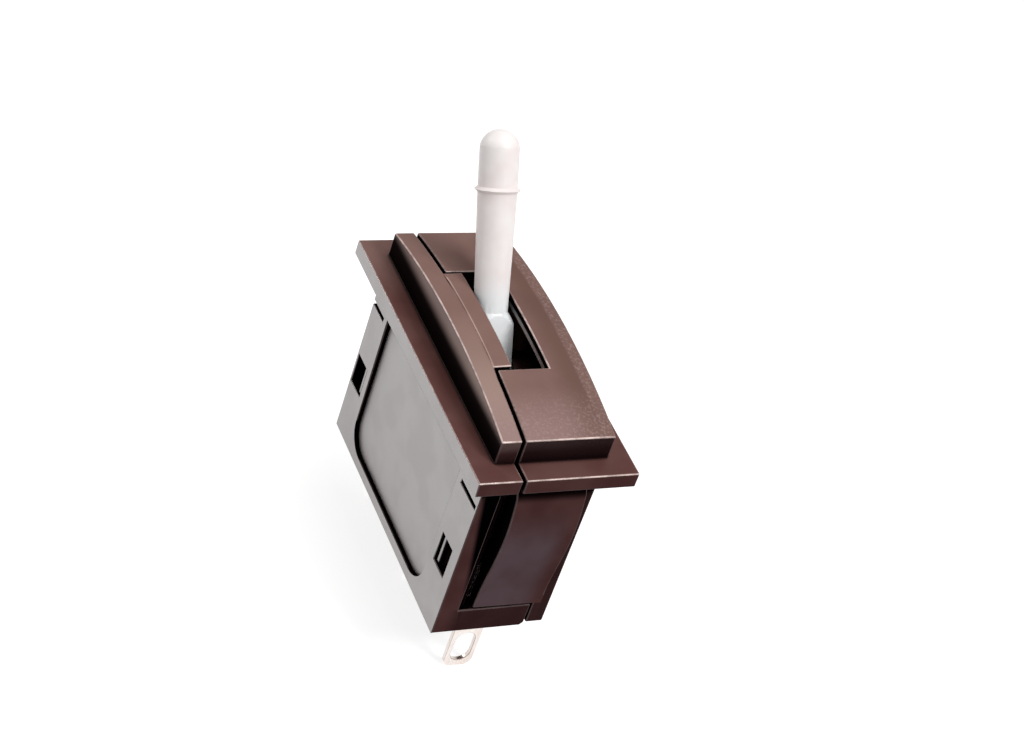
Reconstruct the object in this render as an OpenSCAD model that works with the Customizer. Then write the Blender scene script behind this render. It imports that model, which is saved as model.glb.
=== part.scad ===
// Panel-mounted passing contact switch: a lever in a snap-together case plucks a spring blade in passing.
// The origin is in the middle of the flange's underside, which lies on the panel. The lever swings along Y.

/* [Flange] */
// Length of the flange, along the lever's swing
flange_l = 37; // [36:0.5:44]
// Width of the flange
flange_w = 17.6; // [16:0.2:24]
// Thickness of the flange
flange_t = 1.8; // [1.4:0.1:2.6]

/* [Bezel] */
// Length of the raised bezel
bezel_l = 32; // [31:0.2:35]
// Width of the raised bezel
bezel_w = 12.5; // [12.2:0.1:15]
// Height of the bezel's ends above the flange
bezel_h = 2.9; // [2.4:0.1:4]
// Extra height of the arched top in its middle
bezel_rise = 1.65; // [0.8:0.05:2.4]
// Thickness of the arched top
bezel_t = 1.3; // [1:0.1:1.6]
// Width of the faint border along the plain side of the top
border_w = 1.5; // [0.8:0.1:2]
// How far that border lies below the rest of the top
border_d = 0.08; // [0.04:0.02:0.2]

/* [Lever slot] */
// Length of the slot
slot_l = 15.2; // [14.4:0.2:18]
// Width of the slot
slot_w = 4; // [3.9:0.1:4.6]
// How far the middle of the slot lies behind the pivot
slot_shift = 0.5; // [0:0.05:0.6]
// Gap between each end of the cover's tab and the slot's end
tab_gap = 0.35; // [0.2:0.05:0.6]
// How far the cover's tab stands above the arch, with a faint step along its root
tab_rise = 0.1; // [0.04:0.02:0.2]

/* [Body] */
// Length of the body below the flange
body_l = 31.8; // [31:0.2:34]
// Width of the body
body_w = 12.7; // [12.4:0.1:15]
// Depth of the body below the flange
body_d = 21.9; // [21.4:0.1:26]
// How far the cover's floor reaches below that depth
floor_drop = 0.4; // [0.2:0.1:0.8]
// Wall thickness of the case
wall = 1.3; // [1:0.1:1.5]
// Thickness of the cover's side wall
cover_wall = 1.7; // [1.5:0.1:1.9]
// Bevel along the free edge of the floor
floor_bevel = 0.4; // [0.2:0.1:0.8]

/* [Seam] */
// Distance of the seam from the middle of the case
seam_x = 3.85; // [3.8:0.05:4.2]
// Width of the seam between the two mouldings
seam_gap = 0.4; // [0.2:0.05:0.5]
// Distance of the floor's free edge from the middle of the case
floor_x = 4.2; // [3.8:0.1:4.6]
// Thickness of the lips that lap behind the seams
lip_t = 0.8; // [0.5:0.1:1]
// Clearance between a lip and the moulding that it laps
lip_clear = 0.05; // [0.02:0.01:0.15]

/* [Snap catches] */
// Width of each snap catch
catch_w = 7.85; // [6:0.05:8.2]
// Distance of each catch from the plain side of the body
catch_in = 1.05; // [0.6:0.05:1.6]
// How far each catch stands out of the end wall
catch_out = 1; // [0.5:0.05:1.4]
// Depth of the lower edge of each catch below the flange
catch_d = 18.95; // [16:0.05:19.4]
// Depth of the crest of each catch below the flange
crest_d = 7.5; // [6:0.1:10]
// Depth below the flange at which the catch begins, the thickest panel that it holds
panel_t = 2.1; // [1.5:0.1:3]
// Height of the short slope that presses on the panel
catch_slope = 0.8; // [0.4:0.1:1.4]

/* [Latches] */
// Distance of the latch windows' inner edges from the middle of the cover's side
window_y = 12.2; // [11.9:0.05:12.3]
// Width of each latch window
window_w = 2.8; // [2.4:0.1:2.9]
// Height of each latch window
window_h = 3.85; // [2.4:0.05:4.5]
// Depth of the top of the latch windows below the flange
window_d = 11.75; // [9:0.05:13]
// How far the middle of the cover's side lies behind the middle of the case
side_shift = 0.55; // [0:0.05:0.6]
// Width of the ledge that each hook grips
ledge_w = 0.55; // [0.4:0.05:0.7]
// Depth of the ledge below the cover's side
ledge_d = 0.85; // [0.7:0.05:1]
// How far each hook's tip lies below the cover's side
hook_sink = 0.25; // [0.1:0.05:0.35]
// Width of the flat on each hook's tip
hook_flat = 0.55; // [0.4:0.05:0.7]
// Thickness of each hook's arm
hook_t = 0.7; // [0.5:0.05:0.9]
// Clearance round the hooks
hook_clear = 0.1; // [0.05:0.05:0.2]
// Length of the short slots under the flange
relief_l = 3.9; // [2:0.1:4]
// Height of the short slots under the flange
relief_h = 0.5; // [0.4:0.05:1.5]
// Depth of the lower edge of the short slots below the flange
relief_d = 4.8; // [3:0.05:6]

/* [Side recess] */
// Length of the recess in the cover's side
recess_l = 22.4; // [16:0.1:22.6]
// Depth of the recess's upper edge below the flange
recess_top = 3.9; // [0.5:0.1:6]
// Depth of the recess's lower edge below the flange
recess_d = 21.1; // [17:0.1:21.4]
// How deep the recess is cut into the wall
recess_t = 0.55; // [0.3:0.05:0.9]
// Radius of the recess's two lower corners
recess_r = 3; // [1:0.1:5]

/* [Lever] */
// Depth of the lever's pivot below the underside of the flange
pivot_d = 1.2; // [0.8:0.1:1.6]
// Length of the lever from its pivot to its tip
lever_l = 25.3; // [22:0.1:32]
// Diameter of the lever below its tip
lever_d = 4.1; // [3.8:0.05:5]
// Diameter of the lever where it joins its hub
lever_root_d = 3.5; // [3.1:0.05:3.5]
// Height of the lever's domed tip
dome_h = 1.8; // [1:0.1:1.8]
// Height of the thin ring above the pivot
ring_at = 19.2; // [15:0.1:20]
// How far the ring stands out of the lever
ring_out = 0.35; // [0.15:0.05:0.6]
// Height of the ring
ring_h = 0.6; // [0.3:0.1:1]
// Angle between the lever at rest and the upright
lever_lean = 30; // [24:1:32]
// Width of the hub across the slot
hub_w = 3.6; // [3.55:0.05:3.7]
// Length of the hub along the swing
hub_l = 3.9; // [3.6:0.1:4.6]
// Height of the hub's square part above the pivot
hub_h = 5.3; // [4:0.1:6]
// Height of the shoulder between the hub and the round lever
shoulder_h = 1.4; // [0.8:0.1:2]
// How far the shoulder's cone starts outside the hub's corners
shoulder_over = 0.2; // [0.1:0.05:0.4]
// Diameter of the two pivot pins on the hub
pin_d = 2.4; // [1.6:0.1:3]
// Length of each pivot pin
pin_l = 1.5; // [1:0.1:1.6]
// Radial clearance of the pivot pins in their bosses
pin_clear = 0.05; // [0.02:0.01:0.1]
// Clearance between the hub and each boss
hub_clear = 0.25; // [0.15:0.05:0.4]
// Wall thickness of the pivot bosses
boss_t = 1.1; // [0.8:0.1:1.4]
// Reach of the nib below the pivot
nib_l = 6.8; // [6:0.1:7.4]
// Thickness of the nib
nib_t = 1.4; // [1:0.1:2]

/* [Contacts] */
// Width of the contact strips and their solder tags
strip_w = 3.3; // [2.6:0.1:3.6]
// Thickness of the contact strips
strip_t = 0.5; // [0.3:0.05:0.7]
// Distance between neighbouring solder tags
tag_pitch = 12.9; // [10:0.1:13.2]
// Length of the solder tags below the floor
tag_l = 8.7; // [6:0.1:12]
// Radius of the corners of each tag's end
tag_r = 1; // [0.6:0.1:1.2]
// Width of the eyelet in each solder tag
eyelet_w = 2.3; // [1.4:0.1:2.4]
// Length of that eyelet
eyelet_l = 4.2; // [2.6:0.1:4.6]
// Width of the metal below the eyelet
eyelet_rim = 0.8; // [0.5:0.1:1.2]
// Clearance of the strips in the floor's slots and between the ribs
strip_clear = 0.1; // [0.05:0.05:0.2]
// Distance from the middle blade to each upright contact
contact_y = 2.6; // [2.4:0.1:3.2]
// How far the nib reaches past the top of the middle blade
blade_bite = 0.7; // [0.4:0.1:1]
// Clearance between the nib's sweep and the upright contacts
nib_clear = 0.5; // [0.3:0.1:1]
// Width of the shoulders that seat the middle blade on the floor
blade_shoulder = 0.6; // [0.3:0.1:0.8]
// Height of those shoulders
blade_shoulder_h = 1; // [0.6:0.1:2]
// Thickness of the ribs that hold the strips
rib_t = 0.9; // [0.6:0.1:1]
// Height of the ribs above the floor
rib_h = 3.5; // [2:0.1:5]

/* [Rivets] */
// Diameter of the contact rivets' heads
rivet_d = 1.8; // [1.2:0.1:2.4]
// Height of the contact rivets' heads
rivet_h = 0.4; // [0.25:0.05:0.5]
// Diameter of the contact rivets' shanks
shank_d = 0.9; // [0.6:0.1:1.1]
// Clearance between a shank and its hole
shank_clear = 0.02; // [0.01:0.01:0.05]
// Distance of the rivets below the top of the upright contacts
rivet_drop = 1.6; // [1.3:0.1:2.5]

/* [Hidden] */

$fn = 64;
arch_fn = 240;
// Steps of the catch's curved face
curve_steps = 10;
// How far a cut runs past the face that it opens
past = 1;

case_brown = [0.27, 0.17, 0.15];
lever_ivory = [0.93, 0.91, 0.88];
strip_brass = [0.86, 0.68, 0.55];
rivet_silver = [0.78, 0.78, 0.76];

// Arch of the bezel's top
bezel_end_z = flange_t + bezel_h;
bezel_top_z = bezel_end_z + bezel_rise;
arch_r = (pow(bezel_l / 2, 2) + pow(bezel_rise, 2)) / (2 * bezel_rise);

// Outer and inner faces of the case
cover_x = -body_w / 2;
body_x = body_w / 2;
cover_in = cover_x + cover_wall;
body_in = body_x - wall;
end_y = body_l / 2;
end_in = end_y - wall;
cover_bottom = -body_d - floor_drop;
floor_z = cover_bottom + wall;

// Faces of the two mouldings along the seams
cover_edge = -seam_x - seam_gap / 2;
body_edge = -seam_x + seam_gap / 2;
floor_edge = floor_x + seam_gap / 2;
tongue_x = body_x - catch_in - catch_w;
low_end_z = -catch_d - seam_gap / 2;
tab_y = slot_l / 2 - tab_gap;

// Lever and its bosses
boss_x = hub_w / 2 + hub_clear;
boss_d = pin_d + 2 * pin_clear + 2 * boss_t;
bore_end = hub_w / 2 + pin_l + hub_clear;
shoulder_r = norm([hub_w, hub_l]) / 2 + shoulder_over;
dome_r = (pow(lever_d / 2, 2) + pow(dome_h, 2)) / (2 * dome_h);

// Contacts
tag_tip = cover_bottom - tag_l;
contact_top = -pivot_d - nib_l - nib_clear;
blade_top = -pivot_d - nib_l + blade_bite;
rivet_z = contact_top - rivet_drop;
blade_half = strip_w / 2 + blade_shoulder;

// Range between two values given in either order
function span(a, b) = [min(a, b), max(a, b)];
// Range of half-width a on both sides of the middle
function both(a) = [-a, a];
// Range of half-length a about the middle of the slot
function along_slot(a) = [slot_shift - a, slot_shift + a];
// Place along the cover's side, measured outwards from the inner edge of the front (-1) or rear (1) window
function window_at(end, out) = end * (window_y + out) + side_shift;

// Box between two limits on each axis
module block(x, y, z) {
    translate([x[0], y[0], z[0]])
        cube([x[1] - x[0], y[1] - y[0], z[1] - z[0]]);
}

// Round bar along X through a point of the YZ plane
module bar_x(x, y, z, r) {
    translate([x[0], y, z])
        rotate([0, 90, 0])
            cylinder(r = r, h = x[1] - x[0]);
}

// Space under the arch of the bezel's top, lowered by drop
module under_arch(drop = 0) {
    translate([-body_w, 0, bezel_top_z - arch_r])
        rotate([0, 90, 0])
            cylinder(r = arch_r - drop, h = 2 * body_w, $fn = arch_fn);
}

// Box whose top follows the bezel's arch
module arched_block(x, y, z0, drop = 0) {
    intersection() {
        block(x, y, [z0, bezel_top_z + past]);
        under_arch(drop);
    }
}

// Copies what follows to both ends of the case
module both_ends() {
    children();
    mirror([0, 1, 0]) children();
}

// Boss for one pivot pin, without its bore
module boss(x) {
    bar_x(x, 0, -pivot_d, boss_d / 2);
}

// Bores of both bosses, closed at their outer ends
module pin_bores() {
    bar_x(both(bore_end), 0, -pivot_d, pin_d / 2 + pin_clear);
}

// Recess in the cover's side with round lower corners
module side_recess() {
    x = [cover_x - past, cover_x + recess_t];
    y = [side_shift - recess_l / 2, side_shift + recess_l / 2];
    round_y = [y[0] + recess_r, y[1] - recess_r];
    block(x, round_y, [-recess_d, -recess_top]);
    block(x, y, [-recess_d + recess_r, -recess_top]);
    for (at = round_y)
        bar_x(x, at, -recess_d + recess_r, recess_r);
}

// Latch window with its ledge, and the short slot above it
module window_cuts(end) {
    z = [-window_d - window_h, -window_d];
    through = span(window_at(end, ledge_w), window_at(end, window_w));
    whole = span(window_at(end, 0), window_at(end, window_w));
    relief = span(window_at(end, 0), window_at(end, relief_l));
    block([cover_x - past, cover_in + hook_clear], through, z);
    block([cover_x - past, cover_x + ledge_d], whole, z);
    block([cover_x - past, cover_in + hook_clear], relief, [-relief_d, -relief_d + relief_h]);
}

// Slots in the floor for the three solder tags
module tag_slots() {
    for (y = [-tag_pitch, 0, tag_pitch])
        translate([0, y, 0])
            block(both(strip_w / 2 + strip_clear), both(strip_t / 2 + strip_clear),
                  [cover_bottom - past, floor_z + past]);
}

// Ribs on the cover that flank the middle blade and back the upright contacts
module strip_ribs() {
    blade_y = strip_t / 2 + strip_clear;
    back_y = contact_y + strip_t / 2 + strip_clear;
    back_z = floor_z + strip_t + strip_clear;
    root = cover_in - past / 2;
    top = floor_z + rib_h;
    both_ends() {
        block([root, blade_half], [blade_y, blade_y + rib_t], [floor_z - wall / 2, top]);
        block([root, strip_w / 2], [back_y, back_y + rib_t], [back_z, top]);
    }
}

// Tab of the cover that closes one side of the lever slot, with a faint step along its root
module cover_tab() {
    root = cover_edge - past;
    edge = -slot_w / 2;
    difference() {
        union() {
            arched_block([root, edge], along_slot(tab_y), 0);
            arched_block([cover_edge, edge], along_slot(tab_y), 0, -tab_rise);
        }
        block([root - past, edge + past], along_slot(tab_y + past), [-past, flange_t]);
        under_arch(bezel_t);
    }
}

module case_cover() {
    side = [cover_x, cover_in];
    color(case_brown)
        difference() {
            union() {
                block([-flange_w / 2, cover_edge], both(flange_l / 2), [0, flange_t]);
                arched_block([-bezel_w / 2, cover_edge], both(bezel_l / 2), 0);
                cover_tab();
                // Lip behind the seam of the bezel
                arched_block([cover_edge - past, cover_edge + lip_t], both(end_in - seam_gap), 0,
                             bezel_t + lip_clear);
                // Side wall, floor and end walls
                block(side, both(end_y), [cover_bottom, flange_t]);
                block([cover_x, floor_x], both(end_y), [cover_bottom, floor_z]);
                both_ends() {
                    block([cover_x, cover_edge], [end_in, end_y], [cover_bottom, flange_t]);
                    block([cover_x, floor_x], [end_in, end_y], [cover_bottom, low_end_z]);
                    // Lip behind the slit beside the catch, clear of the panel
                    block([cover_x, cover_edge + lip_t], [end_in, end_y - wall / 2],
                          [cover_bottom, -panel_t]);
                }
                boss([cover_in - past / 2, -boss_x]);
                strip_ribs();
            }
            side_recess();
            window_cuts(-1);
            window_cuts(1);
            pin_bores();
            tag_slots();
            translate([floor_x, 0, cover_bottom])
                rotate([0, 45, 0])
                    cube([floor_bevel * sqrt(2), 2 * body_l, floor_bevel * sqrt(2)], center = true);
        }
}

// Outward face of the snap catch: a short slope below the panel, a round crest and a long run-in
function catch_face() = [
    [0, -panel_t],
    for (i = [0 : curve_steps])
        [catch_out * (1 + sin(90 * i / curve_steps)) / 2,
         -panel_t - catch_slope - (crest_d - panel_t - catch_slope) * i / curve_steps],
    for (i = [1 : curve_steps])
        [catch_out * (1 + cos(180 * i / curve_steps)) / 2,
         -crest_d - (catch_d - crest_d) * i / curve_steps]
];

// Snap catch on the rear end wall
module snap_catch() {
    root = [[-wall / 2, -catch_d], [-wall / 2, -panel_t]];
    translate([tongue_x, end_y, 0])
        rotate([90, 0, 90])
            linear_extrude(catch_w)
                polygon(concat(catch_face(), root));
}

// Plan of one hook: a barbed tip over the ledge, a slope that leads it in and a straight arm
function hook_plan(end) =
    let (
        tip = cover_x + hook_sink,
        barb = cover_x + ledge_d - hook_clear,
        root = body_in + wall / 2,
        grip = window_at(end, ledge_w / 2),
        flat = window_at(end, ledge_w / 2 + hook_flat),
        near = window_at(end, ledge_w + hook_clear),
        far = window_at(end, ledge_w + hook_clear + hook_t)
    )
    [[tip, grip], [tip, flat], [barb, far], [root, far], [root, near], [barb, near], [barb, grip]];

// Hook that reaches through the case and grips the ledge of one latch window
module hook(end) {
    translate([0, 0, -window_d - window_h + hook_clear])
        linear_extrude(window_h - 2 * hook_clear)
            polygon(hook_plan(end));
}

// Flange and bezel of the main moulding, open below
module body_top() {
    border_x = bezel_w / 2 - border_w;
    difference() {
        union() {
            block([body_edge, flange_w / 2], both(flange_l / 2), [0, flange_t]);
            arched_block([body_edge, border_x], both(bezel_l / 2), 0);
            arched_block([border_x, bezel_w / 2], both(bezel_l / 2), 0, border_d);
        }
        arched_block([body_edge - past, body_in], both(end_in), -past, bezel_t);
        block([body_edge - past, slot_w / 2], along_slot(slot_l / 2), [0, bezel_top_z + past]);
    }
}

module case_body() {
    color(case_brown)
        difference() {
            union() {
                body_top();
                block([body_in, body_x], both(end_y), [-body_d, flange_t]);
                block([floor_edge, body_x], both(end_y), [-body_d, -body_d + wall]);
                // Lip that lies on the cover's floor
                block([floor_x - lip_t, body_in + wall / 2], both(end_in - seam_gap),
                      [floor_z, floor_z + lip_t]);
                both_ends() {
                    block([tongue_x, body_x], [end_in, end_y], [-catch_d, flange_t]);
                    block([floor_edge, body_x], [end_in, end_y], [-body_d, 0]);
                    snap_catch();
                }
                hook(-1);
                hook(1);
                boss([boss_x, body_in + wall / 2]);
            }
            pin_bores();
        }
}

// Outline of the round lever from its hub to its dome, as radius and height above the pivot
function lever_outline() = [
    [0, hub_h],
    [lever_root_d / 2, hub_h],
    [lever_root_d / 2, hub_h + shoulder_h],
    [lever_d / 2, ring_at - ring_h / 2],
    [lever_d / 2 + ring_out, ring_at],
    [lever_d / 2, ring_at + ring_h / 2],
    [lever_d / 2, lever_l - dome_r],
    [0, lever_l - dome_r]
];

// Half of the lever's round tip, to be turned about the lever's axis
module dome_outline() {
    translate([0, lever_l - dome_r])
        intersection() {
            circle(dome_r);
            square([lever_d / 2, 2 * dome_r]);
        }
}

// Square hub with its conical shoulder, rounded below the pivot
module lever_hub() {
    x = both(hub_w / 2);
    y = both(hub_l / 2);
    block(x, y, [0, hub_h]);
    bar_x(x, 0, 0, hub_l / 2);
    intersection() {
        block(x, y, [hub_h, hub_h + shoulder_h]);
        translate([0, 0, hub_h])
            cylinder(h = shoulder_h, r1 = shoulder_r, r2 = lever_root_d / 2);
    }
}

module lever() {
    tip_z = -nib_l + nib_t / 2;
    color(lever_ivory)
        translate([0, 0, -pivot_d])
            rotate([-lever_lean, 0, 0]) {
                rotate_extrude() {
                    polygon(lever_outline());
                    dome_outline();
                }
                lever_hub();
                bar_x(both(hub_w / 2 + pin_l), 0, 0, pin_d / 2);
                // Nib that plucks the middle blade
                block(both(hub_w / 2), both(nib_t / 2), [tip_z, 0]);
                bar_x(both(hub_w / 2), 0, tip_z, nib_t / 2);
            }
}

// Flat solder tag with round corners and an eyelet, up to the height top
module solder_tag(top) {
    half = strip_w / 2;
    eye = eyelet_w / 2;
    eye_low = tag_tip + eyelet_rim + eye;
    eye_high = eye_low + eyelet_l - eyelet_w;
    thick = both(strip_t / 2);
    cut = both(strip_t);
    difference() {
        union() {
            block(both(half), thick, [tag_tip + tag_r, top]);
            block(both(half - tag_r), thick, [tag_tip, top]);
            for (x = both(half - tag_r))
                translate([x, thick[1], tag_tip + tag_r])
                    rotate([90, 0, 0])
                        cylinder(r = tag_r, h = strip_t);
        }
        block(both(eye), cut, [eye_low, eye_high]);
        for (z = [eye_low, eye_high])
            translate([0, cut[1], z])
                rotate([90, 0, 0])
                    cylinder(r = eye, h = 2 * strip_t);
    }
}

// Hole for the shank of a contact rivet through a strip at the place y
module rivet_hole(y) {
    translate([0, y + strip_t, rivet_z])
        rotate([90, 0, 0])
            cylinder(d = shank_d + 2 * shank_clear, h = 2 * strip_t);
}

// Outside of a right-angled bend in a strip, one quarter of a disc about the inner corner
module strip_bend(y, z, y_side, z_side) {
    x = both(strip_w / 2);
    intersection() {
        bar_x(x, y, z, strip_t);
        block(x, span(y, y + y_side * strip_t), span(z, z + z_side * strip_t));
    }
}

// Rear contact: a tag through the floor, a foot along it and an upright near the middle blade
module contact_strip() {
    x = both(strip_w / 2);
    near = contact_y - strip_t / 2;
    far = contact_y + strip_t / 2;
    tag_in = tag_pitch - strip_t / 2;
    foot_top = floor_z + strip_t;
    difference() {
        union() {
            translate([0, tag_pitch, 0]) solder_tag(floor_z);
            strip_bend(tag_in, floor_z, 1, 1);
            block(x, [far, tag_in], [floor_z, foot_top]);
            strip_bend(far, foot_top, -1, -1);
            block(x, [near, far], [foot_top, contact_top]);
        }
        rivet_hole(contact_y);
    }
}

module common_blade() {
    color(strip_brass)
        difference() {
            union() {
                solder_tag(blade_top);
                block(both(blade_half), both(strip_t / 2), [floor_z, floor_z + blade_shoulder_h]);
            }
            rivet_hole(0);
        }
}

module front_contact() {
    color(strip_brass) mirror([0, 1, 0]) contact_strip();
}

module rear_contact() {
    color(strip_brass) contact_strip();
}

// Rivet clenched on both faces of a strip at the place y
module contact_rivet(y) {
    length = strip_t + 2 * rivet_h;
    color(rivet_silver)
        translate([0, y, rivet_z])
            rotate([90, 0, 0]) {
                cylinder(d = shank_d, h = length, center = true);
                for (z = both(strip_t / 2 + rivet_h / 2))
                    translate([0, 0, z]) cylinder(d = rivet_d, h = rivet_h, center = true);
            }
}

module common_rivet() {
    contact_rivet(0);
}

module front_rivet() {
    contact_rivet(-contact_y);
}

module rear_rivet() {
    contact_rivet(contact_y);
}

case_cover();
case_body();
lever();
common_blade();
front_contact();
rear_contact();
common_rivet();
front_rivet();
rear_rivet();
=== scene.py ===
"""Looks of the passing contact switch: softened mouldings, finishes, floor, light and camera."""
import math

import bmesh
import bpy
from mathutils import Matrix, Vector


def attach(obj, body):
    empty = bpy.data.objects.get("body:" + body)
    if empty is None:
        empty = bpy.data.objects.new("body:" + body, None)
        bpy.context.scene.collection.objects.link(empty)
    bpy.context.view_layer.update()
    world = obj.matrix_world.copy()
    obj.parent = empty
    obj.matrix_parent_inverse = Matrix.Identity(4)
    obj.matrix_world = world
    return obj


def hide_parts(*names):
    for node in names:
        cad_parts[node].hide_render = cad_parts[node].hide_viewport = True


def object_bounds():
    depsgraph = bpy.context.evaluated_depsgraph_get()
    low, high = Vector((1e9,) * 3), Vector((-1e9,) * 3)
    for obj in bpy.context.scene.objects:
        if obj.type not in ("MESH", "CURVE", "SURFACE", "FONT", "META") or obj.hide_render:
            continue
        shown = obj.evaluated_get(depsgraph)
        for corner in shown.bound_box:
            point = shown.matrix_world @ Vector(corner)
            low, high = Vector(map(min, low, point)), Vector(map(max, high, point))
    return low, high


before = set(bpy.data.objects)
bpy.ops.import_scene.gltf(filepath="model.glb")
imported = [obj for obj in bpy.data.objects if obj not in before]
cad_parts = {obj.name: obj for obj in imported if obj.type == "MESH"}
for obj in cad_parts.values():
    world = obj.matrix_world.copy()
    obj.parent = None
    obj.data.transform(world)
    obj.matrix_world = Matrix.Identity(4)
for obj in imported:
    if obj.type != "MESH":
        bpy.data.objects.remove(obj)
cad_low, cad_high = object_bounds()

MM = 0.001

# The camera, solved from the corners of the flange, bezel and body
CAMERA_AIM = Vector((-0.06, -4.42, 2.74)) * MM
CAMERA_DISTANCE = 241.1 * MM
CAMERA_AZIMUTH = math.radians(-34.08)
CAMERA_ELEVATION = math.radians(37.66)
CAMERA_ROLL = math.radians(20.01)
CAMERA_LENS = 84.34
CAMERA_CLIP = 10 * MM
SENSOR_WIDTH = 36.0

# The light: the direction, width and power of each lamp, all at one distance from the origin
WORLD_STRENGTH = 0.5
LAMP_DISTANCE = 600 * MM
LAMPS = {
    "overhead": (Vector((0.1, -0.1, 0.99)), 360 * MM, 1.2),
    "front": (Vector((0.3, -0.6, 0.74)), 200 * MM, 1.5),
    "left_rear": (Vector((-0.61, 0.656, 0.443)), 120 * MM, 0.6),
}

# The floor's width in metres, its greys, and the glow that makes it white to the camera
FLOOR_SIZE = 6.0
FLOOR_GREYS = ((0.5, 0.5, 0.5), (0.52, 0.52, 0.52))
FLOOR_GLOW = 0.74

# Softening of the edges
CASE_EDGE = 0.15 * MM
CASE_STEP = 0.11 * MM
LEVER_EDGE = 0.12 * MM
STRIP_EDGE = 0.06 * MM
RIVET_EDGE = 0.08 * MM
EDGE_SEGMENTS = 3
SHARP_ANGLE = math.radians(28)
SMOOTH_ANGLE = math.radians(40)
FLAT_ANGLE = math.radians(0.3)
MERGE_DISTANCE = 0.002 * MM

# The gloss of the brown plastic: each pair is its least and its most
COAT_INDEX = 3.8
FACE_COAT_ROUGHNESS = 0.45
EDGE_COAT_ROUGHNESS = 0.25
SATIN_COAT = 0.04
SLOT_WALL_COAT = 0.6
SIDE_WALL_COAT = (0.92, 1.0)
EDGE_COAT = (0.1, 0.21)
EDGE_COAT_RISE = (0.3, 1.0)

# How far round it a surface looks for its creases, which get painted shade
BROAD_CREASE = 5.0 * MM
EDGE_CREASE = 1.2 * MM
CRISP_CREASE = 0.6 * MM

# Roughness of each finish, at the low and at the high end of its grain or streaks
FACE_ROUGHNESS = (0.34, 0.46)
EDGE_ROUGHNESS = (0.28, 0.4)
IVORY_ROUGHNESS = (0.34, 0.46)
COPPER_ROUGHNESS = (0.38, 0.24)
CUT_COPPER_ROUGHNESS = (0.5, 0.38)
SILVER_ROUGHNESS = (0.22, 0.36)

# How strong the painted floor reflection and the painted highlights are: each pair is their least and most
# over the cloudy patches
REFLECTION_PATCHES = (0.5, 0.66)
ROOT_PATCHES = (0.5, 0.9)
HIGHLIGHT_PATCHES = (0.35, 1.0)
SLOT_EDGE_HIGHLIGHT = 0.6
BEZEL_EDGE_HIGHLIGHT = 0.7

# Every pair from here to the colours is where a mask starts and where it is full

# How far a surface turns to an axis, lies open or is seen at a slant
FACING = (0.6, 0.95)
SQUARE_ON = (0.9, 0.98)
TURNED_ASIDE = (0.35, 0.75)
TURNED_UP = (0.2, 0.45)
TILTED_UP = (0.0, 0.35)
TURNED_TO_FRONT = (-0.2, -0.45)
OPEN = (0.35, 0.85)
AT_A_SLANT = (0.1, 0.55)

# Places on the case as a whole, in millimetres
ABOVE_FLANGE = (1.85, 2.0)
BELOW_FLANGE_TOP = (1.9, 1.7)
BELOW_FLANGE = (0.0, -0.1)
ABOVE_FLOOR = (-21.6, -21.4)
INSIDE_ENDS = (15.75, 15.6)
OUTER_WALLS = (4.5, 5.2)
OUTER_EDGES = (5.7, 6.0)
TOP_FACES = (1.5, 1.7)
TOP_EDGES = (1.4, 1.6)
UPPER_EDGES = (0.5, 1.2)

# Places on the bezel and in its slot, in millimetres
ARCH_RADIUS = 78.4
TAB_REACH = 7.25
ON_BEZEL = (3.0, 4.6)
BEZEL_SIDE_TOP = (3.8, 5.8)
BEZEL_SIDE_FOOT = (5.6, 4.0)
BEZEL_LEFT_EDGE = (-5.6, -5.9)
BEZEL_EDGE_HEIGHT = (2.4, 2.8)
SLOT_WALL_FACE = (1.8, 1.95)
SLOT_WALL_BACK = (2.2, 2.05)
SLOT_EDGE_BACK = (2.3, 2.2)
SLOT_MIRROR = (5.75, 5.5)
TAB_ROOT_LEFT = (-4.14, -4.08)
TAB_ROOT_RIGHT = (-3.86, -3.92)
TAB_ROOT_LENGTH = (TAB_REACH, TAB_REACH - 0.4)
TAB_ROOT_HEIGHT = (4.2, 4.4)
TO_RIGHT = (1.0, 4.5)
TO_TAB = (0.0, -2.5)
ON_COVER = (-3.9, -4.3)
ALONG_COVER = (4.0, -14.0)
TO_REAR = (8.0, 17.0)
TO_FRONT = (-9.0, -15.0)
ON_BORDER = (4.6, 5.1)
# Where the painted highlight on the bezel fades towards its right
HIGHLIGHT_LEFT = (4.5, -1.0)

# Places on the cover's side, in millimetres
CUT_WALL_DEPTH = -6.28
CUT_EDGE_DEPTH = -6.12
CUT_BLEND = 0.06
CUT_BACK = (-4.2, -4.4)
CUT_TOP = (-3.3, -3.5)
SIDE_FACE = (-5.4, -5.5)
SIDE_TOP = (-3.2, -3.4)

# Places on the ends with their catches and slits, in millimetres
SHADE_LEAN = 0.133
SHADE_EDGE = (-6.7, -6.0)
SHADED_STRIP = (-3.6, -3.8)
CLOSE_TO_FLANGE = (-3.5, -2.5)
SLIT_REACH = (14.3, 14.5)
SLIT_BOTTOM = (15.7, 15.55)
SLIT_BREADTH = (5.3, 5.1)
CATCH_SIDES = (3.6, 3.4)
SLIT_LEDGE = (-2.6, -2.8)
REFLECTION_LEFT = (-2.7, -2.4)
REFLECTION_RIGHT = (5.0, 2.5)
REFLECTION_TOP = (-4.0, -10.0)
REFLECTION_FOOT = (-19.0, -18.8)
BEZEL_END_SEAM = (-4.1, -3.7)
LOW_STRIP = (-18.9, -19.1)
LOW_STRIP_BREADTH = (-5.4, -3.4)
RIGHT_STRIP = (5.2, 5.4)

# Where the lever's ivory turns paler and bluer, painted light for its glowing hub, in millimetres
TO_HUB = (10.0, 5.0)

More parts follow.
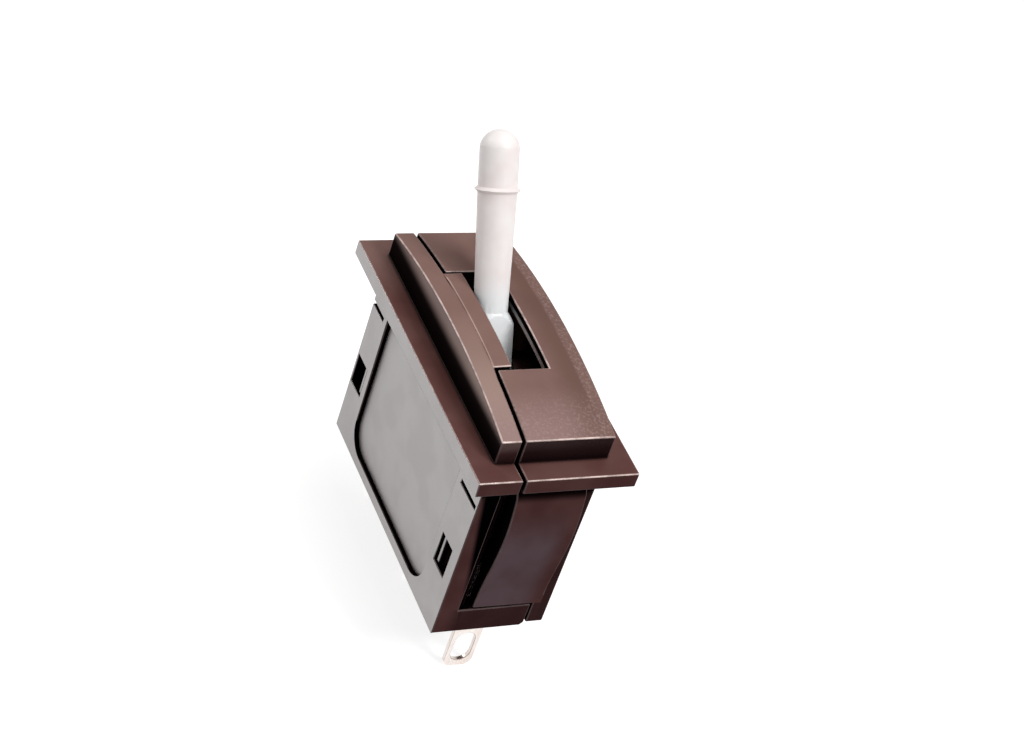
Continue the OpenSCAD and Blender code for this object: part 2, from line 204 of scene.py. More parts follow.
# Colours of the brown plastic
FLANGE_BROWNS = ((0.117, 0.047, 0.041), (0.152, 0.071, 0.062))
FLANGE_TOP_BROWN = (0.02, 0.004, 0.006)
BEZEL_BROWNS = ((0.178, 0.099, 0.085), (0.205, 0.119, 0.103))
RIGHT_BROWN = (0.14, 0.077, 0.061)
TAB_BROWN = (0.27, 0.165, 0.135)
COVER_TAN = (0.36, 0.252, 0.215)
REAR_BROWN = (0.25, 0.15, 0.13)
# Painted highlight and glints on the bezel's front and right border
HIGHLIGHT_BROWN = (0.3, 0.19, 0.178)
SPECKLE_GLINT_TAN = (0.38, 0.26, 0.24)
# A greyer umber on the long sides, painted to add to the grey sheen they show at a slant
SIDE_SHEEN_UMBER = (0.13, 0.1, 0.1)
# Painted reflection of the floor on the lower catches
REFLECTION_MAUVE = (0.12, 0.088, 0.104)
# Painted shade on the ends: a darker brown, and near black where shade falls
END_SHADE_BROWN = (0.022, 0.009, 0.014)
END_BLACK = (0.004, 0.0015, 0.003)
SHADE_BLACK = (0.001, 0.0006, 0.001)
# Painted shade: the black at the foot of the bezel's long sides
FOOT_SHADE_BLACK = (0.003, 0.002, 0.0025)
# Painted shade: the black laid into creases, slots and cuts
CREASE_SHADE_BLACK = (0.0015, 0.0008, 0.001)
# Painted highlight along the root of the tab
ROOT_HIGHLIGHT_TAN = (0.45, 0.31, 0.27)
# Edge colours lit and shaded: paler on upward edges as a painted highlight, darker on the others as painted
# shade
LOW_EDGE_BROWNS = ((0.07, 0.042, 0.042), (0.1, 0.064, 0.062))
TOP_EDGE_BROWNS = ((0.19, 0.112, 0.1), (0.25, 0.162, 0.146))
# Painted glints and highlights on the edges
EDGE_GLINT_TAN = (0.42, 0.3, 0.275)
EDGE_HIGHLIGHT_TAN = (0.78, 0.6, 0.55)
# Painted shade in the creases and slits along the edges
EDGE_BLACK = (0.01, 0.005, 0.005)

# Colours of the lever and the metals
IVORIES = ((0.91, 0.83, 0.81), (0.96, 0.895, 0.88))
HUB_GLOW_IVORY = (0.95, 0.985, 1.0)
COPPERS = ((0.8, 0.73, 0.69), (0.86, 0.81, 0.78))
TARNISHED_COPPER = (0.72, 0.55, 0.46)
CUT_COPPERS = ((0.62, 0.5, 0.43), (0.44, 0.35, 0.3))
SILVERS = ((0.8, 0.79, 0.76), (0.56, 0.54, 0.5))


def choose(piece):
    """Makes one piece the only selected and active object."""
    bpy.ops.object.select_all(action="DESELECT")
    piece.select_set(True)
    bpy.context.view_layer.objects.active = piece


def cad_copy(node, name, shortest):
    """A copy of a CAD node's mesh, merged, with its flat faces whole and without edges under the shortest."""
    piece = bpy.data.objects.new(name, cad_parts[node].data.copy())
    bpy.context.scene.collection.objects.link(piece)
    piece.data.materials.clear()
    choose(piece)
    bpy.ops.object.mode_set(mode="EDIT")
    bpy.ops.mesh.select_all(action="SELECT")
    bpy.ops.mesh.customdata_custom_splitnormals_clear()
    bpy.ops.mesh.remove_doubles(threshold=MERGE_DISTANCE)
    bpy.ops.mesh.dissolve_limited(angle_limit=FLAT_ANGLE)
    if shortest:
        bpy.ops.mesh.select_all(action="SELECT")
        bpy.ops.mesh.dissolve_degenerate(threshold=shortest)
    bpy.ops.object.mode_set(mode="OBJECT")
    return piece


def face_breadth(edge):
    """The lesser breadth of the two faces that meet at an edge."""
    return min(2 * face.calc_area() / face.calc_perimeter() for face in edge.link_faces)


def soften(piece, width, finish):
    """Rounds the outward sharp edges of a piece where its faces leave room, with one of its finishes."""
    choose(piece)
    bpy.ops.object.mode_set(mode="EDIT")
    bpy.ops.mesh.select_mode(type="EDGE")
    bpy.ops.mesh.select_all(action="DESELECT")
    mesh = bmesh.from_edit_mesh(piece.data)
    for edge in mesh.edges:
        if len(edge.link_faces) != 2 or not edge.is_convex or edge.calc_face_angle(0) < SHARP_ANGLE:
            continue
        edge.select = edge.calc_length() > width and face_breadth(edge) > 2 * width
    bmesh.update_edit_mesh(piece.data)
    bpy.ops.mesh.bevel(
        offset=width, segments=EDGE_SEGMENTS, affect="EDGES", clamp_overlap=False, material=finish,
    )
    bpy.ops.object.mode_set(mode="OBJECT")
    shade(piece)


def shade(piece):
    """Smooth shading that keeps the flat faces flat."""
    choose(piece)
    bpy.ops.object.shade_smooth_by_angle(angle=SMOOTH_ANGLE)
    flat = piece.modifiers.new("flat_faces", "WEIGHTED_NORMAL")
    flat.keep_sharp = True
    bpy.ops.object.modifier_apply(modifier=flat.name)


def seat(piece, node, body):
    """Puts a finished piece in the place of its CAD node."""
    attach(piece, body)
    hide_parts(node)


def add_node(tree, kind, settings=None, inputs=None):
    """Adds a shader node with its settings and the constants of its sockets."""
    made = tree.nodes.new(kind)
    for name, value in (settings or {}).items():
        setattr(made, name, value)
    for name, value in (inputs or {}).items():
        made.inputs[name].default_value = value
    return made


def start_material(name, constants=None):
    """A new material with its Principled shader, the shader's constants and its output."""
    material = bpy.data.materials.new(name)
    material.use_nodes = True
    tree = material.node_tree
    tree.nodes.clear()
    shader = add_node(tree, "ShaderNodeBsdfPrincipled", None, constants)
    output = add_node(tree, "ShaderNodeOutputMaterial")
    tree.links.new(shader.outputs["BSDF"], output.inputs["Surface"])
    return material, tree, shader


def millimetres(tree):
    """Object coordinates in millimetres."""
    place = add_node(tree, "ShaderNodeTexCoord")
    scale = add_node(tree, "ShaderNodeMapping", None, {"Scale": (1 / MM, 1 / MM, 1 / MM)})
    tree.links.new(place.outputs["Object"], scale.inputs["Vector"])
    return scale.outputs["Vector"]


def ramp(tree, source, low, high, to_low=0.0, to_high=1.0):
    """A value that runs from to_low to to_high as its source runs from low to high."""
    made = add_node(tree, "ShaderNodeMapRange", {"interpolation_type": "SMOOTHSTEP"}, {
        "From Min": low, "From Max": high, "To Min": to_low, "To Max": to_high,
    })
    tree.links.new(source, made.inputs["Value"])
    return made.outputs["Result"]


def between(tree, share, low, high):
    """A value that runs from low to high as a share runs from 0 to 1."""
    return ramp(tree, share, 0.0, 1.0, low, high)


def calculate(tree, operation, *terms):
    """One step of arithmetic on values, each a number or another node's output."""
    made = add_node(tree, "ShaderNodeMath", {"operation": operation})
    for socket, term in zip(made.inputs, terms):
        if isinstance(term, float):
            socket.default_value = term
        else:
            tree.links.new(term, socket)
    return made.outputs["Value"]


def product(tree, *shares):
    """The product of several shares."""
    result = shares[0]
    for share in shares[1:]:
        result = calculate(tree, "MULTIPLY", result, share)
    return result


def greatest(tree, *shares):
    """The greatest of several shares."""
    result = shares[0]
    for share in shares[1:]:
        result = calculate(tree, "MAXIMUM", result, share)
    return result


def opposite(tree, share):
    """What a share leaves of 1."""
    return calculate(tree, "SUBTRACT", 1.0, share)


def unsigned(tree, value):
    """A value without its sign."""
    return calculate(tree, "ABSOLUTE", value)


def tint(tree, share, base, top):
    """A colour mixed from base to top by a share; each may be a colour or another node's output."""
    made = add_node(tree, "ShaderNodeMix", {"data_type": "RGBA"})
    tree.links.new(share, made.inputs["Factor"])
    for socket, colour in ((made.inputs[6], base), (made.inputs[7], top)):
        if isinstance(colour, tuple):
            socket.default_value = (*colour, 1.0)
        else:
            tree.links.new(colour, socket)
    return made.outputs[2]


def wash(tree, base, mask, colour, share):
    """Lays a colour over a base where a mask is, only as strongly as a share."""
    return tint(tree, product(tree, mask, share), base, colour)


def bump(tree, shader, height, strength, distance):
    """Joins a height to the shader's normal."""
    made = add_node(tree, "ShaderNodeBump", None, {"Strength": strength, "Distance": distance})
    tree.links.new(height, made.inputs["Height"])
    tree.links.new(made.outputs["Normal"], shader.inputs["Normal"])


def moulding_group():
    """Surface of a moulded plastic: fine grain, speckle and broad cloudy patches."""
    group = bpy.data.node_groups.new("moulding_surface", "ShaderNodeTree")
    group.interface.new_socket("Vector", in_out="INPUT", socket_type="NodeSocketVector")
    for name, value in (("Grain Scale", 4.0), ("Speckle Scale", 3.0), ("Cloud Scale", 0.2)):
        socket = group.interface.new_socket(name, in_out="INPUT", socket_type="NodeSocketFloat")
        socket.default_value = value
    for name in ("Grain", "Speckle", "Cloud"):
        group.interface.new_socket(name, in_out="OUTPUT", socket_type="NodeSocketFloat")
    given = add_node(group, "NodeGroupInput")
    result = add_node(group, "NodeGroupOutput")
    for scale, detail, name, low, high in (
        ("Grain Scale", 3.0, "Grain", 0.2, 0.8),
        ("Speckle Scale", 2.0, "Speckle", 0.48, 0.66),
        ("Cloud Scale", 2.0, "Cloud", 0.3, 0.7),
    ):
        noise = add_node(group, "ShaderNodeTexNoise", None, {"Detail": detail, "Roughness": 0.6})
        group.links.new(given.outputs["Vector"], noise.inputs["Vector"])
        group.links.new(given.outputs[scale], noise.inputs["Scale"])
        group.links.new(ramp(group, noise.outputs["Fac"], low, high), result.inputs[name])
    return group


def rolled_group():
    """Surface of rolled metal: streaks along the strip and patches of tarnish."""
    group = bpy.data.node_groups.new("rolled_surface", "ShaderNodeTree")
    group.interface.new_socket("Vector", in_out="INPUT", socket_type="NodeSocketVector")
    socket = group.interface.new_socket("Stretch", in_out="INPUT", socket_type="NodeSocketVector")
    socket.default_value = (12.0, 12.0, 0.6)
    for name in ("Streak", "Tarnish"):
        group.interface.new_socket(name, in_out="OUTPUT", socket_type="NodeSocketFloat")
    given = add_node(group, "NodeGroupInput")
    result = add_node(group, "NodeGroupOutput")
    stretch = add_node(group, "ShaderNodeVectorMath", {"operation": "MULTIPLY"})
    group.links.new(given.outputs["Vector"], stretch.inputs[0])
    group.links.new(given.outputs["Stretch"], stretch.inputs[1])
    for place, scale, detail, name, low, high in (
        (stretch.outputs["Vector"], 1.0, 3.0, "Streak", 0.3, 0.7),
        (given.outputs["Vector"], 0.5, 4.0, "Tarnish", 0.45, 0.7),
    ):
        noise = add_node(group, "ShaderNodeTexNoise", None, {"Scale": scale, "Detail": detail})
        group.links.new(place, noise.inputs["Vector"])
        group.links.new(ramp(group, noise.outputs["Fac"], low, high), result.inputs[name])
    return group


MOULDING = moulding_group()
ROLLED = rolled_group()


def use_group(tree, group, place, inputs=None):
    """Places a shared surface in a material."""
    made = add_node(tree, "ShaderNodeGroup", {"node_tree": group}, inputs)
    tree.links.new(place, made.inputs["Vector"])
    return made


def along(tree, vector, axis):
    """One coordinate of a vector."""
    made = add_node(tree, "ShaderNodeSeparateXYZ")
    tree.links.new(vector, made.inputs["Vector"])
    return made.outputs[axis]


def turned(tree, axis):
    """How far a surface turns along an axis, from -1 to 1."""
    geometry = add_node(tree, "ShaderNodeNewGeometry")
    return along(tree, geometry.outputs["Normal"], axis)


def faces(tree, axis, limits=FACING):
    """1 where a surface faces along an axis, either way, and 0 where it faces across it."""
    return ramp(tree, unsigned(tree, turned(tree, axis)), *limits)


def openness(tree, reach):
    """1 on open surfaces, down to 0 in creases, slots and windows narrower than reach."""
    made = add_node(tree, "ShaderNodeAmbientOcclusion", {"samples": 8}, {"Distance": reach})
    return ramp(tree, made.outputs["AO"], *OPEN)


def slant(tree):
    """1 where a surface is seen at a slant, for its gloss."""
    facing = add_node(tree, "ShaderNodeLayerWeight", None, {"Blend": 0.5})
    return ramp(tree, facing.outputs["Facing"], *AT_A_SLANT)


def side_walls(tree, place):
    """1 on the outer side walls and the flange's long edges, less on the bezel's long sides above them."""
    outward = product(tree, turned(tree, "X"), along(tree, place, "X"))
    height = along(tree, place, "Z")
    level = add_node(tree, "ShaderNodeMix", {"data_type": "FLOAT"}, {"A": 1.0})
    tree.links.new(ramp(tree, height, *ABOVE_FLANGE), level.inputs["Factor"])
    tree.links.new(ramp(tree, height, *BEZEL_SIDE_TOP, to_high=0.26), level.inputs["B"])
    return product(tree, faces(tree, "X"), ramp(tree, outward, *OUTER_WALLS), level.outputs["Result"])


def slot_band(tree, place):
    """The lower part of the slot's plain wall, which mirrors the lever's hub, and the part above it, which is
    painted black as shade.
    """
    across, length, height = (along(tree, place, axis) for axis in "XYZ")
    arch_fall = 1 / (2 * ARCH_RADIUS)
    below_arch = calculate(tree, "MULTIPLY_ADD", product(tree, length, length), arch_fall, height)
    slot_wall = product(
        tree, faces(tree, "X"), ramp(tree, across, *SLOT_WALL_FACE), ramp(tree, across, *SLOT_WALL_BACK),
    )
    low = ramp(tree, below_arch, *SLOT_MIRROR)
    return product(tree, slot_wall, low), product(tree, slot_wall, opposite(tree, low))


def bezel_foot_shade(tree, place):
    """Painted shade on the lower part of the bezel's long sides, above the flange."""
    height = along(tree, place, "Z")
    dark = ramp(tree, height, *BEZEL_SIDE_FOOT, to_high=0.97)
    return product(tree, faces(tree, "X"), ramp(tree, height, *ABOVE_FLANGE), dark)


def in_cuts(tree, place, depth):
    """1 inside the recess, the latch windows and the short slots in the cover's side, from a depth on."""
    across, length, height = (along(tree, place, axis) for axis in "XYZ")
    deep = ramp(tree, across, depth, depth + CUT_BLEND)
    shallow = ramp(tree, across, *CUT_BACK)
    low = ramp(tree, height, *CUT_TOP)
    high = ramp(tree, height, *ABOVE_FLOOR)
    return product(tree, deep, shallow, low, high, ramp(tree, unsigned(tree, length), *INSIDE_ENDS))


def cut_wall_shade(tree, place):
    """1 on the walls of those cuts and on the slopes of the hooks behind the windows, which are painted black
    as shade.
    """
    return product(tree, opposite(tree, faces(tree, "X", SQUARE_ON)), in_cuts(tree, place, CUT_WALL_DEPTH))


def open_faces(tree, place):
    """1 on the cover's side and on the tops of the flange and bezel, where the painted crease shade stays
    close to the walls.
    """
    across, height = along(tree, place, "X"), along(tree, place, "Z")
    side = product(tree, faces(tree, "X"), ramp(tree, across, *SIDE_FACE), ramp(tree, height, *SIDE_TOP))
    return greatest(tree, side, product(tree, faces(tree, "Z"), ramp(tree, height, *TOP_FACES)))


def flange_shade(tree, place):
    """The shade on the ends close under the flange, and its dark slant on the strips beside the catches."""
    across, height = along(tree, place, "X"), along(tree, place, "Z")
    lean = calculate(tree, "MULTIPLY_ADD", height, SHADE_LEAN, across)
    slanted = product(tree, ramp(tree, lean, *SHADE_EDGE), ramp(tree, across, *SHADED_STRIP))
    close = ramp(tree, height, *CLOSE_TO_FLANGE, to_high=0.95)
    return product(tree, greatest(tree, slanted, close), ramp(tree, height, *BELOW_FLANGE))


def flange_to_floor(tree, place):
    """1 between the flange and the floor of the case."""
    height = along(tree, place, "Z")
    return product(tree, ramp(tree, height, *BELOW_FLANGE), ramp(tree, height, *ABOVE_FLOOR))


def slit_faces(tree, place):
    """1 on the side of each catch that stands in the slit, and on the ledge at the slit's foot, which are
    painted black as shade.
    """
    across = along(tree, place, "X")
    side = product(tree, faces(tree, "X"), ramp(tree, unsigned(tree, across), *CATCH_SIDES))
    ledge = product(tree, faces(tree, "Z"), ramp(tree, across, *SLIT_LEDGE))
    reach = ramp(tree, unsigned(tree, along(tree, place, "Y")), *SLIT_REACH)
    return product(tree, greatest(tree, side, ledge), reach, flange_to_floor(tree, place))


def slit_edges(tree, place):
    """1 on the edges that lie deep in the slits beside the catches."""
    deep = ramp(tree, unsigned(tree, along(tree, place, "Y")), *SLIT_BOTTOM)
    within = ramp(tree, unsigned(tree, along(tree, place, "X")), *SLIT_BREADTH)
    return product(tree, deep, within, flange_to_floor(tree, place))


def catch_floor_reflection(tree, place):
    """The lower part of the catches, which slopes towards the floor and gets a painted cool reflection of it.
    """
    across, height = along(tree, place, "X"), along(tree, place, "Z")
    return product(
        tree, ramp(tree, across, *REFLECTION_LEFT), ramp(tree, across, *REFLECTION_RIGHT),
        ramp(tree, height, *REFLECTION_TOP), ramp(tree, height, *REFLECTION_FOOT),
    )


def tab_root_highlight(tree, place):
    """1 along the root of the tab, where its low step gets a painted highlight."""
    across, length, height = (along(tree, place, axis) for axis in "XYZ")
    line = product(tree, ramp(tree, across, *TAB_ROOT_LEFT), ramp(tree, across, *TAB_ROOT_RIGHT))
    beside_slot = ramp(tree, unsigned(tree, length), *TAB_ROOT_LENGTH)
    return product(tree, line, beside_slot, ramp(tree, height, *TAB_ROOT_HEIGHT))


def end_shade(tree, place):
    """How much painted shade the ends get: the bezel's ends, the strips round the catches, and the deep
    slits.
    """
    across, length, height = (along(tree, place, axis) for axis in "XYZ")
    below = ramp(tree, height, *BELOW_FLANGE)
    seam = ramp(tree, across, *BEZEL_END_SEAM, to_low=0.4, to_high=0.75)
    bezel = product(tree, ramp(tree, height, *ABOVE_FLANGE), seam)
    low_strip = product(
        tree, ramp(tree, height, *LOW_STRIP, to_high=0.5), ramp(tree, across, *LOW_STRIP_BREADTH),
    )
    right_strip = product(tree, ramp(tree, across, *RIGHT_STRIP, to_high=0.55), below)
    slits = product(tree, ramp(tree, unsigned(tree, length), *INSIDE_ENDS), below)
    return greatest(tree, bezel, slits, low_strip, right_strip)


def bezel_colour(tree, cloud, place):
    """Brown of the bezel: darker on the right, lighter on the tab and palest on the cover's strip."""
    across, length = along(tree, place, "X"), along(tree, place, "Y")
    brown = tint(tree, cloud, *BEZEL_BROWNS)
    right = wash(tree, brown, ramp(tree, across, *TO_RIGHT), RIGHT_BROWN, share=0.9)
    tab = wash(tree, right, ramp(tree, across, *TO_TAB), TAB_BROWN, share=0.3)
    strip = product(tree, ramp(tree, across, *ON_COVER), ramp(tree, length, *ALONG_COVER))
    return wash(tree, tab, strip, COVER_TAN, share=0.85)


def end_colour(tree, cloud, place, brown):
    """Brown of the ends: painted shade makes them darker and near black under the flange and in their slits,
    with a painted reflection of the floor on the catches.
    """
    ends = faces(tree, "Y")
    # Painted shade: darker ends, black in their shade, in their slits and under the flange
    darker = wash(tree, brown, ends, END_SHADE_BROWN, share=0.5)
    shaded = tint(tree, product(tree, ends, end_shade(tree, place)), darker, END_BLACK)
    # Painted reflection: the lower catches turn a cool mauve
    floor_reflection = product(tree, ends, catch_floor_reflection(tree, place), between(tree, cloud, *REFLECTION_PATCHES))
    reflected = tint(tree, floor_reflection, shaded, REFLECTION_MAUVE)
    dark = greatest(tree, product(tree, ends, flange_shade(tree, place)), slit_faces(tree, place))
    return tint(tree, dark, reflected, SHADE_BLACK)


def brown_colour(tree, surface, place):
    """Brown of the case: lighter on the bezel, with a painted highlight and glints on its front and right
    border, and darker on the ends.
    """
    across, length, height = (along(tree, place, axis) for axis in "XYZ")
    cloud = surface.outputs["Cloud"]
    on_bezel = ramp(tree, height, *ON_BEZEL)
    flange = wash(tree, tint(tree, cloud, *FLANGE_BROWNS), faces(tree, "Z"), FLANGE_TOP_BROWN, share=0.17)
    case = tint(tree, on_bezel, flange, bezel_colour(tree, cloud, place))
    brown = wash(tree, case, ramp(tree, length, *TO_REAR), REAR_BROWN, share=0.55)
    # Painted highlight: the bezel's front and right border turn paler and glint
    highlit = greatest(tree, ramp(tree, length, *TO_FRONT), ramp(tree, across, *ON_BORDER))
    highlight_zone = product(tree, highlit, on_bezel)
    to_left = ramp(tree, across, *HIGHLIGHT_LEFT, to_low=0.25, to_high=0.75)
    paler = tint(tree, product(tree, highlight_zone, to_left), brown, HIGHLIGHT_BROWN)
    speckle = product(tree, surface.outputs["Speckle"], highlight_zone)
    return end_colour(tree, cloud, place, wash(tree, paler, speckle, SPECKLE_GLINT_TAN, share=0.4))


def brown_moulding():
    """Dark brown glossy plastic of the case, faintly grained, with painted shade that turns it black in its
    creases and cuts and at the bezel's foot, a painted sheen on its long sides and a painted highlight at the
    tab's root.
    """
    material, tree, shader = start_material("brown_moulding", {
        "Specular IOR Level": 0.0, "Coat IOR": COAT_INDEX, "Coat Roughness": FACE_COAT_ROUGHNESS,
    })
    place = millimetres(tree)
    scales = {"Grain Scale": 3.5, "Speckle Scale": 3.6, "Cloud Scale": 0.2}
    surface = use_group(tree, MOULDING, place, scales)
    grain, cloud = surface.outputs["Grain"], surface.outputs["Cloud"]
    # Painted shade: the less open a surface is, the more black is laid into it
    crisp = product(tree, openness(tree, CRISP_CREASE), open_faces(tree, place))
    clear = greatest(tree, openness(tree, BROAD_CREASE), crisp)
    slot_mirror, slot_shade = slot_band(tree, place)
    # Painted shade: the cut walls and the upper slot wall turn black and lose their gloss
    uncut = opposite(tree, greatest(tree, cut_wall_shade(tree, place), slot_shade))
    sides = side_walls(tree, place)
    foot = bezel_foot_shade(tree, place)

    # Painted sheen: the long sides turn a greyer umber
    brown = wash(tree, brown_colour(tree, surface, place), sides, SIDE_SHEEN_UMBER, share=0.9)
    # Painted shade: the bezel's sides turn black towards the flange
    walls = tint(tree, foot, brown, FOOT_SHADE_BLACK)
    # Painted shade: black in the creases and on the cut walls
    colour = tint(tree, product(tree, clear, uncut), CREASE_SHADE_BLACK, walls)
    # Painted highlight along the tab's root
    root_highlight = product(tree, tab_root_highlight(tree, place), between(tree, cloud, *ROOT_PATCHES))
    tree.links.new(tint(tree, root_highlight, colour, ROOT_HIGHLIGHT_TAN), shader.inputs["Base Color"])
    tree.links.new(between(tree, grain, *FACE_ROUGHNESS), shader.inputs["Roughness"])

    satin = product(tree, clear, uncut, opposite(tree, faces(tree, "Y")), opposite(tree, foot), SATIN_COAT)
    sheen = product(tree, slant(tree), sides, uncut, clear, between(tree, cloud, *SIDE_WALL_COAT))
    mirror = product(tree, slant(tree), slot_mirror, SLOT_WALL_COAT)
    tree.links.new(greatest(tree, satin, sheen, mirror), shader.inputs["Coat Weight"])
    bump(tree, shader, grain, strength=0.12, distance=0.012 * MM)
    return material


def highlit_edges(tree, place):
    """The edges given a painted highlight: along the front, on the bezel's left and beside the slot."""
    across, height = along(tree, place, "X"), along(tree, place, "Z")
    top = product(tree, ramp(tree, turned(tree, "Z"), *TURNED_UP), ramp(tree, height, *TOP_EDGES))
    front = ramp(tree, turned(tree, "Y"), *TURNED_TO_FRONT)
    beside_slot = product(tree, ramp(tree, across, *SLOT_WALL_FACE), ramp(tree, across, *SLOT_EDGE_BACK))
    on_left = product(tree, ramp(tree, across, *BEZEL_LEFT_EDGE), ramp(tree, height, *BEZEL_EDGE_HEIGHT))
    slot = product(tree, beside_slot, SLOT_EDGE_HIGHLIGHT)
    bezel = product(tree, on_left, BEZEL_EDGE_HIGHLIGHT)
    return product(tree, top, greatest(tree, front, slot, bezel))


def wall_edges(tree, place):
    """1 on the edges that turn towards the long sides, which are as glossy at a slant as those walls."""
    outside = ramp(tree, unsigned(tree, along(tree, place, "X")), *OUTER_EDGES)
    below = ramp(tree, along(tree, place, "Z"), *BELOW_FLANGE_TOP)
    return product(tree, faces(tree, "X", TURNED_ASIDE), outside, below, slant(tree))


def brown_edge():
    """The same plastic on the edges, with painted highlights and glints on the upper edges, painted shade in
    creases and slits, and a shinier coat.
    """
    material, tree, shader = start_material("brown_edge", {
        "Specular IOR Level": 0.0, "Coat IOR": COAT_INDEX, "Coat Roughness": EDGE_COAT_ROUGHNESS,
    })
    place = millimetres(tree)
    scales = {"Grain Scale": 5.0, "Speckle Scale": 2.0, "Cloud Scale": 0.5}
    surface = use_group(tree, MOULDING, place, scales)
    grain, cloud = surface.outputs["Grain"], surface.outputs["Cloud"]
    hidden = greatest(tree, in_cuts(tree, place, CUT_EDGE_DEPTH), slit_edges(tree, place))
    clear = product(tree, openness(tree, EDGE_CREASE), opposite(tree, hidden))
    upward = ramp(tree, turned(tree, "Z"), *TILTED_UP)
    upper = product(tree, ramp(tree, along(tree, place, "Z"), *UPPER_EDGES), upward)

    # Painted light: upward edges paler, the others darker
    brown = tint(tree, upper, tint(tree, cloud, *LOW_EDGE_BROWNS), tint(tree, cloud, *TOP_EDGE_BROWNS))
    glinting = wash(tree, brown, product(tree, surface.outputs["Speckle"], upper), EDGE_GLINT_TAN, share=0.5)
    # Painted highlight on the front, left and slot edges
    highlit = product(tree, highlit_edges(tree, place), between(tree, cloud, *HIGHLIGHT_PATCHES))
    edge_highlights = tint(tree, highlit, glinting, EDGE_HIGHLIGHT_TAN)
    # Painted shade: edges in creases, cuts and slits turn black
    tree.links.new(tint(tree, clear, EDGE_BLACK, edge_highlights), shader.inputs["Base Color"])
    tree.links.new(between(tree, grain, *EDGE_ROUGHNESS), shader.inputs["Roughness"])

    shiny = product(tree, between(tree, grain, *EDGE_COAT), between(tree, upper, *EDGE_COAT_RISE))
    coat = product(tree, greatest(tree, shiny, wall_edges(tree, place)), clear)
    tree.links.new(coat, shader.inputs["Coat Weight"])
    return material


def ivory_moulding():
    """Ivory plastic of the lever, cloudy and a little translucent, painted paler and bluer towards its hub as
    a glow.
    """
    material, tree, shader = start_material("ivory_moulding", {
        "Subsurface Weight": 0.3, "Subsurface Radius": (1.0, 0.9, 0.85), "Subsurface Scale": 1.0 * MM,
    })
    place = millimetres(tree)
    surface = use_group(tree, MOULDING, place, {"Grain Scale": 2.5, "Cloud Scale": 0.3})
    warm = tint(tree, surface.outputs["Cloud"], *IVORIES)
    to_hub = ramp(tree, along(tree, place, "Z"), *TO_HUB)
    # Painted light: the hub glows paler and bluer
    tree.links.new(wash(tree, warm, to_hub, HUB_GLOW_IVORY, share=0.9), shader.inputs["Base Color"])
    tree.links.new(between(tree, surface.outputs["Grain"], *IVORY_ROUGHNESS), shader.inputs["Roughness"])
    bump(tree, shader, surface.outputs["Grain"], strength=0.2, distance=0.01 * MM)
    return material


def pale_copper():
    """Rolled pale copper alloy of the contact strips and solder tags."""
    material, tree, shader = start_material("pale_copper", {"Metallic": 1.0})
    surface = use_group(tree, ROLLED, millimetres(tree))
    bright = tint(tree, surface.outputs["Streak"], *COPPERS)
    colour = wash(tree, bright, surface.outputs["Tarnish"], TARNISHED_COPPER, share=0.3)
    tree.links.new(colour, shader.inputs["Base Color"])
    tree.links.new(between(tree, surface.outputs["Streak"], *COPPER_ROUGHNESS), shader.inputs["Roughness"])
    bump(tree, shader, surface.outputs["Streak"], strength=0.15, distance=0.01 * MM)
    return material


def tarnished_edge():
    """Cut edges of the contact strips, a little tarnished."""
    material, tree, shader = start_material("tarnished_edge", {"Metallic": 0.6})
    surface = use_group(tree, ROLLED, millimetres(tree))
    tree.links.new(tint(tree, surface.outputs["Tarnish"], *CUT_COPPERS), shader.inputs["Base Color"])
    roughness = between(tree, surface.outputs["Streak"], *CUT_COPPER_ROUGHNESS)
    tree.links.new(roughness, shader.inputs["Roughness"])
    return material


def contact_silver():
    """Silver contact metal of the rivets."""
    material, tree, shader = start_material("contact_silver", {"Metallic": 1.0})
    surface = use_group(tree, ROLLED, millimetres(tree), {"Stretch": (6.0, 2.0, 6.0)})
    tree.links.new(tint(tree, surface.outputs["Tarnish"], *SILVERS), shader.inputs["Base Color"])
    tree.links.new(between(tree, surface.outputs["Streak"], *SILVER_ROUGHNESS), shader.inputs["Roughness"])
    bump(tree, shader, surface.outputs["Streak"], strength=0.15, distance=0.01 * MM)
    return material


def build_switch():
    """Softens every moulding and strip and gives it its finish."""
    brown = (brown_moulding(), brown_edge())
    copper = (pale_copper(), tarnished_edge())
    ivory, silver = (ivory_moulding(),), (contact_silver(),)
    for node, body, slot, finishes, edge, shortest in (
        ("case_cover", "case", "case", brown, CASE_EDGE, CASE_STEP),
        ("case_body", "case", "case", brown, CASE_EDGE, CASE_STEP),
        ("lever", "lever", "lever", ivory, LEVER_EDGE, 0.0),
        ("common_blade", "case", "contact_strip", copper, STRIP_EDGE, 0.0),
        ("front_contact", "case", "contact_strip", copper, STRIP_EDGE, 0.0),
        ("rear_contact", "case", "contact_strip", copper, STRIP_EDGE, 0.0),
        ("common_rivet", "case", "contact_rivet", silver, RIVET_EDGE, 0.0),
        ("front_rivet", "case", "contact_rivet", silver, RIVET_EDGE, 0.0),
        ("rear_rivet", "case", "contact_rivet", silver, RIVET_EDGE, 0.0),
    ):
        piece = cad_copy(node, "finished_" + node, shortest)
        for finish in finishes:
            piece.data.materials.append(finish)
        soften(piece, edge, len(finishes) - 1)
        seat(piece, node, body)


def seen_rays(tree):
    """1 where the camera sees a surface, straight on, mirrored or through, and 0 for the light it gives."""
    rays = add_node(tree, "ShaderNodeLightPath")
    names = ("Is Camera Ray", "Is Glossy Ray", "Is Transmission Ray")
    return greatest(tree, *(rays.outputs[name] for name in names))


def floor_paper():
    """Plain white paper of the floor."""
    material, tree, shader = start_material("floor_paper", {
        "Emission Color": (1.0, 1.0, 1.0, 1.0), "Roughness": 1.0, "Specular IOR Level": 0.0,
    })
    grain = add_node(tree, "ShaderNodeTexNoise", None, {"Scale": 3.0, "Detail": 2.0})
    tree.links.new(millimetres(tree), grain.inputs["Vector"])
    tree.links.new(tint(tree, grain.outputs["Fac"], *FLOOR_GREYS), shader.inputs["Base Color"])
    tree.links.new(product(tree, seen_rays(tree), FLOOR_GLOW), shader.inputs["Emission Strength"])
    return material


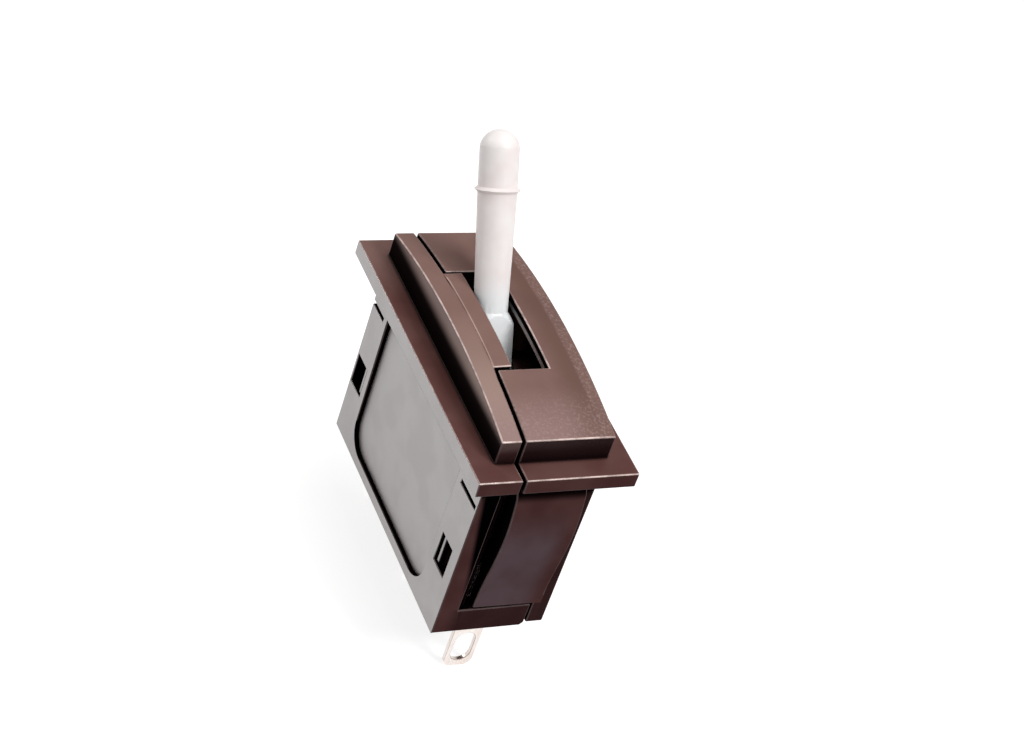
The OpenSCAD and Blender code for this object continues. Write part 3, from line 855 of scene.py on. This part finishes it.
def build_floor():
    """A pale floor under the solder tags."""
    bpy.ops.object.select_all(action="DESELECT")
    bpy.ops.mesh.primitive_plane_add(size=FLOOR_SIZE, location=(0, 0, cad_low.z))
    floor = bpy.context.object
    floor.name = "floor"
    floor.data.materials.append(floor_paper())


def build_world():
    """Plain surroundings, white to the camera and in reflections."""
    world = bpy.data.worlds.new("surroundings")
    bpy.context.scene.world = world
    world.use_nodes = True
    tree = world.node_tree
    tree.nodes.clear()
    background = add_node(tree, "ShaderNodeBackground")
    tree.links.new(between(tree, seen_rays(tree), WORLD_STRENGTH, 1.0), background.inputs["Strength"])
    output = add_node(tree, "ShaderNodeOutputWorld")
    tree.links.new(background.outputs["Background"], output.inputs["Surface"])


def build_lamps():
    """A large soft lamp overhead and two smaller ones that draw the edges."""
    for name, (direction, size, power) in LAMPS.items():
        data = bpy.data.lights.new(name, "AREA")
        data.shape = "DISK"
        data.size = size
        data.energy = power
        lamp = bpy.data.objects.new(name, data)
        bpy.context.scene.collection.objects.link(lamp)
        lamp.location = direction.normalized() * LAMP_DISTANCE
        lamp.rotation_euler = (-direction).to_track_quat("-Z", "Y").to_euler()


def build_camera():
    """The camera at the photograph's place, rolled as it was held."""
    data = bpy.data.cameras.new("camera")
    data.lens = CAMERA_LENS
    data.sensor_width = SENSOR_WIDTH
    data.clip_start = CAMERA_CLIP
    camera = bpy.data.objects.new("camera", data)
    bpy.context.scene.collection.objects.link(camera)
    level = math.cos(CAMERA_ELEVATION)
    back = Vector((
        math.sin(CAMERA_AZIMUTH) * level,
        -math.cos(CAMERA_AZIMUTH) * level,
        math.sin(CAMERA_ELEVATION),
    ))
    look = (-back).to_track_quat("-Z", "Y").to_matrix().to_4x4()
    roll = Matrix.Rotation(CAMERA_ROLL, 4, "Z")
    camera.matrix_world = Matrix.Translation(CAMERA_AIM + back * CAMERA_DISTANCE) @ look @ roll
    bpy.context.scene.camera = camera


build_switch()
build_floor()
build_world()
build_lamps()
build_camera()
bpy.context.scene.view_settings.view_transform = "Standard"
